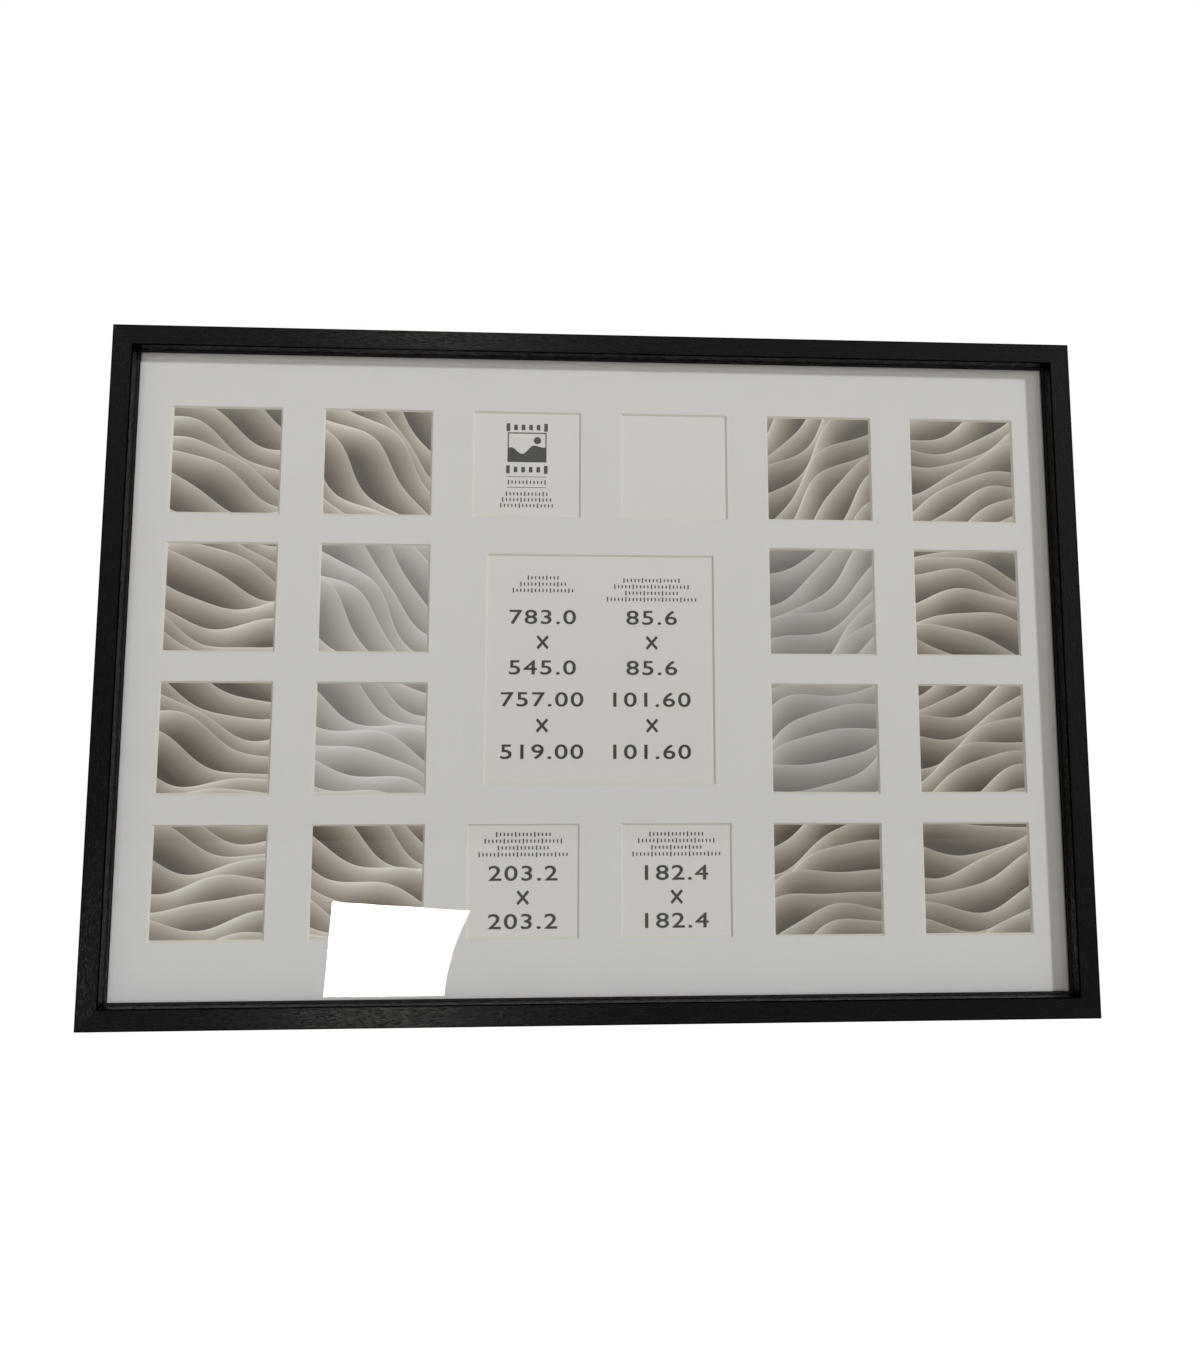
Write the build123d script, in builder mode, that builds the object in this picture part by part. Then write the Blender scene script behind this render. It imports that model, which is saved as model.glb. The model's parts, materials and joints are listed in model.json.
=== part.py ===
from build123d import *
import os
from math import asin, degrees

# Collage photo frame, in millimetres: a deep box moulding round a sheet of glass and a mat
# with one large and twenty small bevel-cut windows. Behind them lie a printed sheet and a
# board that turn buttons hold in. It hangs on a wall by two ring hangers.
# +X is to the right seen from the front, +Z is up, and the front faces -Y. The wall is the
# plane Y = 0, and the origin lies on it, half way between the two wall hooks.

# Overall size
frame_width = 783.0
frame_height = 545.0

# Moulding section
face_width = 16.4
wall_drop = 12.5
ledge_width = 1.2
ledge_thickness = 2.2
leg_width = 12.0
front_round = 0.6
back_round = 0.5

# Sheets in the rebate, from the front
glass_thickness = 2.0
mat_thickness = 1.5
insert_thickness = 0.3
board_thickness = 3.0
sheet_clearance = 1.0
board_corner = 2.0

# Windows in the mat, measured where the bevel meets the print
window_size = 85.6
centre_window_size = 182.4
column_pitch = 121.4
row_pitch = 111.4
column_count = 6
row_count = 4
bevel_angle = 45

# V-nails across the mitres
nail_leg = 5.0
nail_sheet = 0.8
nail_height = 7.0
nail_insets = (3.2, 7.4)

# Turn buttons
button_reach = 20.0
button_sheet = 1.0
button_heel_radius = 5.5
button_tip_width = 7.6
button_tip_chamfer = 2.0
long_rail_button_count = 3
long_rail_end_gap = 131.5
short_rail_button_count = 2
short_rail_end_gap = 102.5

# Screws
screw_radius = 1.5
screw_head_radius = 2.9
screw_head_height = 1.9
button_screw_length = 11.0
hanger_screw_length = 12.5
pilot_clearance = 0.05
running_clearance = 0.08

# Ring hangers
hanger_drop = 162.5
hanger_inset = 7.2
wire_radius = 1.0
strap_sheet = 0.8
strap_width = 8.0
strap_length = 21.5
strap_screw_drop = 16.5
strap_end_chamfer = 2.2
ring_side_gap = 0.3
ring_side = 3.2
ring_corner = 1.6
ring_rest_gap = 0.3
wire_facets = 8

# Wall bumpers
bumper_radius = 4.6
bumper_thickness = 4.0
bumper_inset = 24.0

# Heights of the sheets above the back face of the rails
board_front = board_thickness
insert_front = board_front + insert_thickness
mat_front = insert_front + mat_thickness
glass_front = mat_front + glass_thickness
ledge_front = glass_front + ledge_thickness
rail_depth = ledge_front + wall_drop

# The ring's bar turns in the folded eye, and the rest of the ring reaches out from it
eye_bore = wire_radius + running_clearance
eye_radius = eye_bore + strap_sheet
ring_bar = strap_width + 2 * ring_side_gap
ring_half_width = ring_bar / 2 + ring_corner
ring_reach = ring_corner + ring_side + ring_half_width

# The wall touches the bumpers, and a hook holds the inside of each ring when it is turned up
half_width = frame_width / 2
half_height = frame_height / 2
hanger_height = half_height - hanger_drop
hook_height = hanger_height + ring_reach - wire_radius
back_plane = Plane(origin=(0, -bumper_thickness, -hook_height), x_dir=(1, 0, 0), z_dir=(0, -1, 0))
to_front = back_plane.z_dir
to_wall = -back_plane.z_dir


def on_back(x, z):
    """The point x to the right and z above the middle of the frame, on the rails' back faces."""
    return back_plane.from_local_coords((x, z, 0))


def spread(count, pitch):
    """Evenly spaced places about the middle."""
    return [pitch * (index - (count - 1) / 2) for index in range(count)]


def spread_between(count, reach):
    """Evenly spaced places, the outermost two this far from the middle."""
    return spread(count, 2 * reach / (count - 1))


def finish(piece, name):
    """Name a finished piece and write it to its own file."""
    piece.part.label = name
    export_step(piece.part, f"parts/{name}.step")


# Where the turn buttons are screwed on, and which way their tips point: (x, z, tip x, tip z)
button_line = leg_width / 2
top_line = half_height - button_line
side_line = half_width - button_line
long_reach = half_width - long_rail_end_gap
short_reach = half_height - short_rail_end_gap
button_places = {}
for number, x in enumerate(spread_between(long_rail_button_count, long_reach), start=1):
    button_places[f"turn_button_top_{number}"] = (x, top_line, 0, -1)
    button_places[f"turn_button_bottom_{number}"] = (x, -top_line, 0, 1)
for number, z in enumerate(spread_between(short_rail_button_count, short_reach), start=1):
    button_places[f"turn_button_left_{number}"] = (-side_line, z, 1, 0)
    button_places[f"turn_button_right_{number}"] = (side_line, z, -1, 0)
button_screw_places = [(x, z) for x, z, _, _ in button_places.values()]

# Where the hangers stand
hanger_line = half_width - hanger_inset
hanger_places = {"left": -hanger_line, "right": hanger_line}
hanger_screw_places = [(x, hanger_height - strap_screw_drop) for x in hanger_places.values()]

# Frame corners, each turned so that the corner's own x and y run inwards along the two rails
corner_places = [
    Location((-half_width, -half_height, 0), (0, 0, 0)),
    Location((half_width, -half_height, 0), (0, 0, 90)),
    Location((half_width, half_height, 0), (0, 0, 180)),
    Location((-half_width, half_height, 0), (0, 0, 270)),
]

os.makedirs("parts", exist_ok=True)

# V-nails: two bent steel strips across each mitre, driven in flush from behind
with BuildPart() as corner_v_nails:
    with BuildSketch(back_plane):
        with Locations(*corner_places):
            with Locations(*[(inset, inset) for inset in nail_insets]):
                Rectangle(nail_leg, nail_sheet, align=(Align.MIN, Align.MIN))
                Rectangle(nail_sheet, nail_leg, align=(Align.MIN, Align.MIN))
    extrude(amount=nail_height)
finish(corner_v_nails, "corner_v_nails")

# Rails: the section runs along the outer edge, is mitred at both ends, and takes the nails
# and the screws. Each row gives the middle of the outer edge, the way inwards and the length.
rail_sides = {
    "rail_top": (0, half_height, (0, 0, -1), frame_width),
    "rail_bottom": (0, -half_height, (0, 0, 1), frame_width),
    "rail_left": (-half_width, 0, (1, 0, 0), frame_height),
    "rail_right": (half_width, 0, (-1, 0, 0), frame_height),
}
for name, (edge_x, edge_z, inwards, length) in rail_sides.items():
    inward = Vector(inwards)
    along = inward.cross(to_front)
    edge_middle = on_back(edge_x, edge_z)
    with BuildPart() as rail:
        with BuildSketch(Plane(origin=edge_middle, x_dir=inward, z_dir=along)) as section:
            with BuildLine():
                Polyline(
                    (0, 0),
                    (leg_width, 0),
                    (leg_width, glass_front),
                    (face_width + ledge_width, glass_front),
                    (face_width + ledge_width, ledge_front),
                    (face_width, ledge_front),
                    (face_width, rail_depth),
                    (0, rail_depth),
                    close=True,
                )
            make_face()
            corners = section.vertices().group_by(Axis.Y)
            fillet(corners[-1], radius=front_round)
            fillet(corners[0].sort_by(Axis.X)[0], radius=back_round)
        extrude(amount=length / 2, both=True)
        for end in (along, -along):
            mitre = Plane(origin=edge_middle + end * (length / 2), z_dir=-(end + inward))
            split(bisect_by=mitre)
        add(corner_v_nails.part, mode=Mode.SUBTRACT)
        with Locations(Plane(origin=back_plane.origin, x_dir=back_plane.x_dir, z_dir=to_wall)):
            with Locations(*[(x, -z) for x, z in button_screw_places]):
                Hole(radius=screw_radius + pilot_clearance, depth=button_screw_length)
            with Locations(*[(x, -z) for x, z in hanger_screw_places]):
                Hole(radius=screw_radius + pilot_clearance, depth=hanger_screw_length)
    finish(rail, name)

# Glazing, board and printed sheet: plain sheets that fill the rebate
sheet_width = frame_width - 2 * (leg_width + sheet_clearance)
sheet_height = frame_height - 2 * (leg_width + sheet_clearance)

with BuildPart() as glazing_sheet:
    with BuildSketch(back_plane.offset(mat_front)):
        Rectangle(sheet_width, sheet_height)
    extrude(amount=glass_thickness)
finish(glazing_sheet, "glazing_sheet")

with BuildPart() as photo_insert:
    with BuildSketch(back_plane.offset(board_front)):
        Rectangle(sheet_width, sheet_height)
    extrude(amount=insert_thickness)
finish(photo_insert, "photo_insert")

with BuildPart() as backing_board:
    with BuildSketch(back_plane) as board:
        Rectangle(sheet_width, sheet_height)
        chamfer(board.vertices(), length=board_corner)
    extrude(amount=board_thickness)
finish(backing_board, "backing_board")

# Mat: the windows widen from the print to the face, so their cut edges show as a bevel. The
# large window takes the place of the four middle ones.
window_places = [
    (x, z)
    for x in spread(column_count, column_pitch)
    for z in spread(row_count, row_pitch)
    if abs(x) > column_pitch or abs(z) > row_pitch
]
with BuildPart() as window_mat:
    with BuildSketch(back_plane.offset(insert_front)):
        Rectangle(sheet_width, sheet_height)
    extrude(amount=mat_thickness)
    with BuildSketch(back_plane.offset(insert_front)):
        with Locations(*window_places):
            Rectangle(window_size, window_size)
        Rectangle(centre_window_size, centre_window_size)
    extrude(amount=mat_thickness, taper=-bevel_angle, mode=Mode.SUBTRACT)
finish(window_mat, "window_mat")

# Turn buttons: a flat stamped plate that narrows to a blunt tip, held by a screw at its heel
for name, (x, z, tip_x, tip_z) in button_places.items():
    face = Plane(origin=on_back(x, z), x_dir=(tip_x, 0, tip_z), z_dir=to_wall)
    with BuildPart() as turn_button:
        with BuildSketch(face) as plate:
            Circle(button_heel_radius)
            with Locations((button_reach, 0)):
                Rectangle(button_heel_radius, button_tip_width, align=(Align.MAX, Align.CENTER))
            make_hull()
            tip_corners = plate.vertices().group_by(Axis.X)[-1]
            chamfer(tip_corners, length=button_tip_chamfer)
            Circle(screw_radius + running_clearance, mode=Mode.SUBTRACT)
        extrude(amount=button_sheet)
    finish(turn_button, name)


def screw_group(places, seat, length):
    """Flat-headed screws driven in from behind, whose heads bear at height seat."""
    with BuildPart() as screw:
        with BuildSketch(Plane.XZ):
            with BuildLine():
                Polyline(
                    (0, screw_head_height),
                    (0, -length),
                    (screw_radius, -length),
                    (screw_radius, 0),
                    (screw_head_radius, 0),
                    (screw_head_radius, screw_head_height),
                    close=True,
                )
            make_face()
        revolve(axis=Axis.Z)
    with BuildPart() as group:
        for x, z in places:
            with Locations(Plane(origin=on_back(x, z), z_dir=to_wall).offset(seat)):
                add(screw.part)
    return group


turn_button_screws = screw_group(button_screw_places, button_sheet, button_screw_length)
finish(turn_button_screws, "turn_button_screws")

# Hanger straps: a strip folded back on itself round the ring's bar, with one screw hole
# through both layers. The section is drawn across the strip, up along the rail.
strap_thickness = 2 * strap_sheet
for side, x in hanger_places.items():
    eye_middle = on_back(x, hanger_height)
    section_plane = Plane(origin=eye_middle, x_dir=to_wall, z_dir=(1, 0, 0))
    with BuildPart() as hanger_strap:
        with BuildSketch(section_plane):
            with Locations((eye_radius, 0)):
                Circle(eye_radius)
            Rectangle(strap_thickness, strap_length, align=(Align.MIN, Align.MAX))
            with Locations((eye_radius, 0)):
                Circle(eye_bore, mode=Mode.SUBTRACT)
        extrude(amount=strap_width / 2, both=True)
        end_corners = hanger_strap.edges().filter_by(Axis.Y).group_by(Axis.Z)[0]
        chamfer(end_corners, length=strap_end_chamfer)
        with BuildSketch(Plane(origin=on_back(x, hanger_height - strap_screw_drop), z_dir=to_wall)):
            Circle(screw_radius + pilot_clearance)
        extrude(amount=strap_thickness, mode=Mode.SUBTRACT)
    finish(hanger_strap, f"hanger_strap_{side}")

hanger_screws = screw_group(hanger_screw_places, strap_thickness, hanger_screw_length)
finish(hanger_screws, "hanger_screws")

# Hanger rings: a wire bent to a D, whose bar turns in the eye. With no hook in it the ring
# hangs down, tipped out just enough to rest on the strap.
ring_tip_lift = strap_thickness + wire_radius + ring_rest_gap - eye_radius
ring_rest_tilt = asin(ring_tip_lift / ring_reach)
for side, x in hanger_places.items():
    hanging = Plane(
        origin=on_back(x, hanger_height) + to_wall * eye_radius, x_dir=(1, 0, 0), z_dir=to_wall
    ).rotated((degrees(ring_rest_tilt), 0, 0))
    with BuildPart() as hanger_ring:
        with BuildLine(hanging) as wire_line:
            bar = Line((-ring_bar / 2, 0), (ring_bar / 2, 0))
            corner = JernArc(start=bar @ 1, tangent=bar % 1, radius=ring_corner, arc_size=90)
            flank = Line(corner @ 1, corner @ 1 + (corner % 1) * ring_side)
            bow = JernArc(
                start=flank @ 1, tangent=flank % 1, radius=ring_half_width, arc_size=180
            )
            flank_back = Line(bow @ 1, bow @ 1 + (bow % 1) * ring_side)
            JernArc(
                start=flank_back @ 1, tangent=flank_back % 1, radius=ring_corner, arc_size=90
            )
        with BuildSketch(Plane(origin=bar @ 0, x_dir=hanging.z_dir, z_dir=bar % 0)):
            RegularPolygon(wire_radius, wire_facets, rotation=180 / wire_facets)
        sweep(path=wire_line.wires()[0])
    finish(hanger_ring, f"hanger_ring_{side}")

# Wall bumpers: two felt discs near the bottom corners, as thick as the hangers stand out
bumper_places = [(sign * (half_width - bumper_inset), -top_line) for sign in (-1, 1)]
with BuildPart() as wall_bumpers:
    with BuildSketch(Plane(origin=back_plane.origin, x_dir=(1, 0, 0), z_dir=to_wall)):
        with Locations(*[(x, -z) for x, z in bumper_places]):
            Circle(bumper_radius)
    extrude(amount=bumper_thickness)
finish(wall_bumpers, "wall_bumpers")
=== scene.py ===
import json
import math
import bpy
import numpy as np
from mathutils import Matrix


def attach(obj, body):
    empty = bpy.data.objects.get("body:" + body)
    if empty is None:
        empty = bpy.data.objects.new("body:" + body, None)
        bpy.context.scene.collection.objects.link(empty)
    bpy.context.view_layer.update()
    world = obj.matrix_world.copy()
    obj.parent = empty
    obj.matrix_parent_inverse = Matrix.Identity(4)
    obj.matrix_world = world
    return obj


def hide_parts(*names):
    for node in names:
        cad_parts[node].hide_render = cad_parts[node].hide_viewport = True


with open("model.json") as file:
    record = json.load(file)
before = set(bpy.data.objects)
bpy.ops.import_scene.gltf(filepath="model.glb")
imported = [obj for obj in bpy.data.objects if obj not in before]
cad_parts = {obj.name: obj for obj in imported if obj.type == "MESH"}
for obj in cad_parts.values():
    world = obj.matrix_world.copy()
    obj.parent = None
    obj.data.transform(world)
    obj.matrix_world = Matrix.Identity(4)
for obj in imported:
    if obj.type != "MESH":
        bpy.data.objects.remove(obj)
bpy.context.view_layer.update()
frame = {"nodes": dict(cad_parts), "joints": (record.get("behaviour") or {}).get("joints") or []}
nodes = frame["nodes"]


# MOULDING
# Four lengths of square-edged box moulding, a softwood core wrapped in black foil that is embossed with
# an open wood grain. They are sawn at 45 degrees and drawn together at the corners by V nails.
foil_black = (3, 3, 3)
foil_worn = (10, 10, 9)
# Painted shade: the near-black colour laid along the face's two arrises and on the lip by the glass.
painted_edge_shade = (2, 2, 2)
# Painted highlight: the paler colour laid on the ledge in front of the lip.
painted_ledge_highlight = (36, 36, 34)
foil_roughness = 0.19
foil_roughening = 0.10
foil_gloss = 0.068
grain_across = 640.0
grain_along = 90.0
grain_waver = 0.12
grain_share = 0.7
pore_across = 1300.0
pore_along = 200.0
pore_reach = (0.50, 0.68)
pore_share = 0.5
crown_relief = 0.45
grain_depth = 0.00035
grain_strength = 0.6
face_front = -0.0255
face_width = 0.0164
edge_margin = 0.0001
half_frame_width = 0.3915
half_frame_height = 0.2725
frame_middle = -0.1197
ledge_highlight_reach = (0.0108, 0.0122)
lip_shade_depth = (0.0128, 0.0126)
arris_shade_reach = (0.0006, 0.0013)


def printed_colour(red, green, blue):
    """A colour written as eight-bit screen values, worked out as the light share that a shader takes."""
    screen = np.array([red, green, blue]) / 255
    light = np.where(screen < 0.04045, screen / 12.92, ((screen + 0.055) / 1.055) ** 2.4)
    return (*light.tolist(), 1.0)


def plug(tree, socket, value):
    """Gives an input a number or a colour, or links it to another node's output."""
    if isinstance(value, bpy.types.NodeSocket):
        tree.links.new(value, socket)
    else:
        socket.default_value = value


def node(tree, kind, inputs=None, **settings):
    """A new shader node of this kind, with its own settings and what goes into its inputs."""
    made = tree.nodes.new("ShaderNode" + kind)
    for name, value in settings.items():
        setattr(made, name, value)
    for name, value in (inputs or {}).items():
        plug(tree, made.inputs[name], value)
    return made


def number(tree, operation, *values, clamp=False):
    """The output of one Math node, worked out from numbers or other outputs."""
    return node(tree, "Math", dict(enumerate(values)), operation=operation, use_clamp=clamp).outputs[0]


def mixed(tree, share, first, second):
    """The first colour, turned into the second by a share from 0 to 1."""
    return node(tree, "Mix", {0: share, 6: first, 7: second}, data_type="RGBA").outputs[2]


def toned(tree, share, *colours):
    """A colour that runs evenly through the given ones as the share goes from 0 to 1."""
    ramp = node(tree, "ValToRGB", {0: share})
    stops = ramp.color_ramp.elements
    for place, colour in enumerate(colours):
        position = place / (len(colours) - 1)
        stop = stops[place] if place < 2 else stops.new(position)
        stop.position, stop.color = position, printed_colour(*colour)
    return ramp.outputs[0]


def speckle(tree, place, scale, detail=3.0, roughness=0.55, waver=0.0):
    """A soft random value at each place, in cells of one over the scale in metres, bent by the waver."""
    inputs = {"Vector": place, "Scale": scale, "Detail": detail, "Roughness": roughness, "Distortion": waver}
    return node(tree, "TexNoise", inputs).outputs[0]


def stretched(tree, place, scales):
    """The place, with each of its three directions scaled by its own number."""
    return node(tree, "Mapping", {"Vector": place, "Scale": scales}).outputs[0]


def finish(name, roughness, metallic=0.0, gloss=0.5):
    """A new material: itself, its tree, its Principled shader and the place on the object in metres."""
    material = bpy.data.materials.new(name)
    material.use_nodes = True
    tree = material.node_tree
    shader = tree.nodes["Principled BSDF"]
    plug(tree, shader.inputs["Roughness"], roughness)
    plug(tree, shader.inputs["Metallic"], metallic)
    plug(tree, shader.inputs["Specular IOR Level"], gloss)
    place = node(tree, "TexCoord").outputs["Object"]
    return material, tree, shader, place


def raised(tree, shader, height, distance, strength=1.0):
    """Lets the shader see a relief, whose height from 0 to 1 stands for the given distance."""
    bump = node(tree, "Bump", {"Height": height, "Distance": distance, "Strength": strength})
    plug(tree, shader.inputs["Normal"], bump.outputs[0])


def clothe(material, *names):
    """Gives CAD nodes this material in place of the plain one."""
    for name in names:
        nodes[name].data.materials.clear()
        nodes[name].data.materials.append(material)


def rising(tree, value, low, high):
    """0 up to the low value, 1 from the high one on, and even between them."""
    return node(tree, "MapRange", {0: value, 1: low, 2: high}).outputs[0]


def grained_foil(name, across, middle, half_size, scales_of):
    """Black foil: long soft grain with short pores in it, whose crowns are worn paler. Painted shade makes it
    darker along the face's two arrises and on the lip by the glass, where its gloss is also taken away, and a
    painted highlight makes it paler on the ledge in front of the lip. The rail's width runs across, and its
    outer edge lies half the frame's size from the frame's middle."""
    material, tree, shader, place = finish(name, foil_roughness, gloss=foil_gloss)
    grain_place = stretched(tree, place, scales_of(grain_along, grain_across))
    grain = speckle(tree, grain_place, 1.0, detail=2.0, waver=grain_waver)
    pore_place = stretched(tree, place, scales_of(pore_along, pore_across))
    pores = speckle(tree, pore_place, 1.0, detail=1.0)
    relief = number(tree, "MULTIPLY", rising(tree, pores, *pore_reach), -pore_share)
    relief = number(tree, "MULTIPLY_ADD", grain, grain_share, relief)
    crown = rising(tree, relief, 0.0, crown_relief)

    apart = node(tree, "SeparateXYZ", {0: place}).outputs
    out = number(tree, "ABSOLUTE", number(tree, "SUBTRACT", apart[across], middle))
    depth = number(tree, "SUBTRACT", apart["Y"], face_front)
    to_outer = number(tree, "SUBTRACT", half_size, out)
    to_inner = number(tree, "SUBTRACT", out, half_size - face_width)
    to_arris = number(tree, "ADD", number(tree, "MINIMUM", to_outer, to_inner), depth)
    on_face = number(tree, "GREATER_THAN", to_inner, edge_margin)
    # Painted shade: a mask of dark lines along both arrises of the face and over the deep lip by the glass,
    # which also lose their gloss.
    off_lip_shade = number(tree, "MAXIMUM", rising(tree, depth, *lip_shade_depth), on_face)
    off_painted_shade = number(tree, "MULTIPLY", rising(tree, to_arris, *arris_shade_reach), off_lip_shade)
    off_face = number(tree, "SUBTRACT", 1.0, on_face)
    # Painted highlight: the ledge in front of the lip is made paler than the rest of the foil.
    ledge_highlight_share = number(tree, "MULTIPLY", rising(tree, depth, *ledge_highlight_reach), off_face)

    colour = mixed(tree, ledge_highlight_share, toned(tree, crown, foil_black, foil_worn), printed_colour(*painted_ledge_highlight))
    # The painted shade takes the place of the foil's colour along the arrises and on the lip.
    plug(tree, shader.inputs["Base Color"], mixed(tree, off_painted_shade, printed_colour(*painted_edge_shade), colour))
    plug(tree, shader.inputs["Specular IOR Level"], number(tree, "MULTIPLY", off_painted_shade, foil_gloss))
    roughness = number(tree, "MULTIPLY_ADD", crown, foil_roughening, foil_roughness)
    plug(tree, shader.inputs["Roughness"], roughness)
    raised(tree, shader, relief, grain_depth, grain_strength)
    return material


foil_along_x = grained_foil(
    "black_foil_level", "Z", frame_middle, half_frame_height, lambda slow, fast: (slow, fast, fast))
foil_along_z = grained_foil(
    "black_foil_upright", "X", 0.0, half_frame_width, lambda slow, fast: (fast, fast, slow))
clothe(foil_along_x, "rail_top", "rail_bottom")
clothe(foil_along_z, "rail_left", "rail_right")


nail_steel = (150, 152, 156)
scratch_length = 12
scratch_share = 0.6
scratch_roughening = 0.22
scratch_depth = 0.00004
scratch_strength = 0.4
cloud_width = 14
darker_share = 0.72


def rolled_metal(name, colour, scratches, smoothest):
    """Bright rolled sheet or wire: fine scratches, so many to a metre, over a slow change of tone. Between
    the scratches it is at its smoothest."""
    material, tree, shader, place = finish(name, smoothest, metallic=1.0)
    drawn_place = stretched(tree, place, (scratches, scratches, scratches / scratch_length))
    drawn = speckle(tree, drawn_place, 1.0, detail=4.0)
    cloud = speckle(tree, place, scratches / cloud_width, detail=2.0)
    cloud = number(tree, "MULTIPLY", cloud, 1 - scratch_share)
    share = number(tree, "MULTIPLY_ADD", drawn, scratch_share, cloud)
    darker = tuple(channel * darker_share for channel in colour)
    plug(tree, shader.inputs["Base Color"], toned(tree, share, darker, colour))
    roughness = number(tree, "MULTIPLY_ADD", drawn, scratch_roughening, smoothest)
    plug(tree, shader.inputs["Roughness"], roughness)
    raised(tree, shader, drawn, scratch_depth, scratch_strength)
    return material


clothe(rolled_metal("nail_steel", nail_steel, scratches=2600.0, smoothest=0.28), "corner_v_nails")


# GLAZING
# One sheet of clear float glass that lies against the moulding's lip. Nothing fixes it but the stack of
# mat, print and board behind it.
glass_mirror_share = 0.036
glass_edge_power = 5.0
glass_tint = (254, 254, 254)

glass = bpy.data.materials.new("clear_glass")
glass.use_nodes = True
glass_tree = glass.node_tree
glass_tree.nodes.remove(glass_tree.nodes["Principled BSDF"])
clear = node(glass_tree, "BsdfTransparent", {"Color": printed_colour(*glass_tint)})
mirror = node(glass_tree, "BsdfGlossy", {"Roughness": 0.0})
edge_on = node(glass_tree, "LayerWeight", {"Blend": 0.5}).outputs["Facing"]
edge_on = number(glass_tree, "POWER", edge_on, glass_edge_power)
shine = number(glass_tree, "MULTIPLY_ADD", edge_on, 1 - glass_mirror_share, glass_mirror_share)
glass_mix = node(glass_tree, "MixShader", {0: shine, 1: clear.outputs[0], 2: mirror.outputs[0]})
glass_tree.links.new(glass_mix.outputs[0], glass_tree.nodes["Material Output"].inputs["Surface"])
clothe(glass, "glazing_sheet")


# WINDOW MAT
# A sheet of pale mat board with twenty small windows and a large one in the middle. Each is cut through
# at 45 degrees, so that the board's cream core shows as a fine line round every picture.
mat_paper = (203, 199, 196)
mat_paper_low = (200, 196, 193)
mat_core = (201, 197, 184)
mat_roughness = 0.82
mat_mottle = 24.0
mat_tooth = 1400.0
tooth_share = 0.3
front_limit = -0.9

mat, mat_tree, mat_shader, mat_place = finish("mat_board", mat_roughness, gloss=0.0)
face_normal = node(mat_tree, "TexCoord").outputs["Normal"]
towards_back = node(mat_tree, "SeparateXYZ", {0: face_normal}).outputs["Y"]
cut_face = number(mat_tree, "GREATER_THAN", towards_back, front_limit)
mottle = speckle(mat_tree, mat_place, mat_mottle)
mottle = number(mat_tree, "MULTIPLY", mottle, 1 - tooth_share)
tooth = speckle(mat_tree, mat_place, mat_tooth, detail=2.0)
paper_share = number(mat_tree, "MULTIPLY_ADD", tooth, tooth_share, mottle)
paper_colour = toned(mat_tree, paper_share, mat_paper_low, mat_paper)
mat_colour = mixed(mat_tree, cut_face, paper_colour, printed_colour(*mat_core))
plug(mat_tree, mat_shader.inputs["Base Color"], mat_colour)
clothe(mat, "window_mat")


# PRINTED SHEET
# One sheet of thin paper behind the mat. Sixteen squares of it carry a print of soft folded dunes in
# taupe greys, and the rest is plain paper that holds the sizes in plain numbers.
column_pitch = 0.1214
row_pitch = 0.1114
half_window = 0.0428
column_count = 6
row_count = 4
insert_paper = (202, 197, 191)
insert_roughness = 0.72
brown_tones = ((70, 58, 45), (103, 92, 77), (139, 129, 114), (175, 166, 152), (215, 208, 198))
grey_tones = ((66, 57, 51), (101, 93, 86), (138, 130, 123), (174, 167, 160), (213, 208, 202))
strong_contrast = 1.17
pale_contrast = 0.72
pale_lift = 0.135
middle_tone = 0.52
side_shades = (-0.025, 0.075)
dune_count = 10
first_crest = 1.72
crest_step = 0.34
outer_lean = 0.16
inner_lean = 0.55
lean_spread = 0.5
long_wave = (1.75, 0.24)
short_wave = (3.9, 0.045)
long_drift = 0.055
short_drift = 0.23
sway_draw, sway_step, sway_turns = 9.0, 1.25, 0.17
nudge_draw, nudge_step, nudge_rise = 7.0, 4.7, 0.05
backdrop_share = 0.5
crest_sharpness = 150.0
crest_tone, fade_rate, deepest_tone = 0.76, 1.25, 0.06
edge_light, edge_rate = 0.22, 80.0
side_light, side_rate = 0.24, 2.2


def place_in_cell(tree, along, middle, pitch, count):
    """Which window of a row a place belongs to, counted from 0, and how far it is from that window's middle
    in half windows."""
    steps = number(tree, "MULTIPLY_ADD", along, 1 / pitch, count / 2 - middle / pitch)
    cell = number(tree, "FLOOR", steps)
    offset = number(tree, "SUBTRACT", number(tree, "SUBTRACT", steps, cell), 0.5)
    return cell, number(tree, "MULTIPLY", offset, pitch / half_window)


def crest_line(tree, along, height, long_phase, short_phase):
    """A crest's height and slope along the print: a long sine wave and a short one round a base height.
    Each wave is its turning rate and its rise."""
    rise, slope = height, 0.0
    for (rate, swing), phase in ((long_wave, long_phase), (short_wave, short_phase)):
        turn = number(tree, "MULTIPLY_ADD", along, rate, phase)
        rise = number(tree, "MULTIPLY_ADD", number(tree, "SINE", turn), swing, rise)
        slope = number(tree, "MULTIPLY_ADD", number(tree, "COSINE", turn), rate * swing, slope)
    return rise, slope


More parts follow.
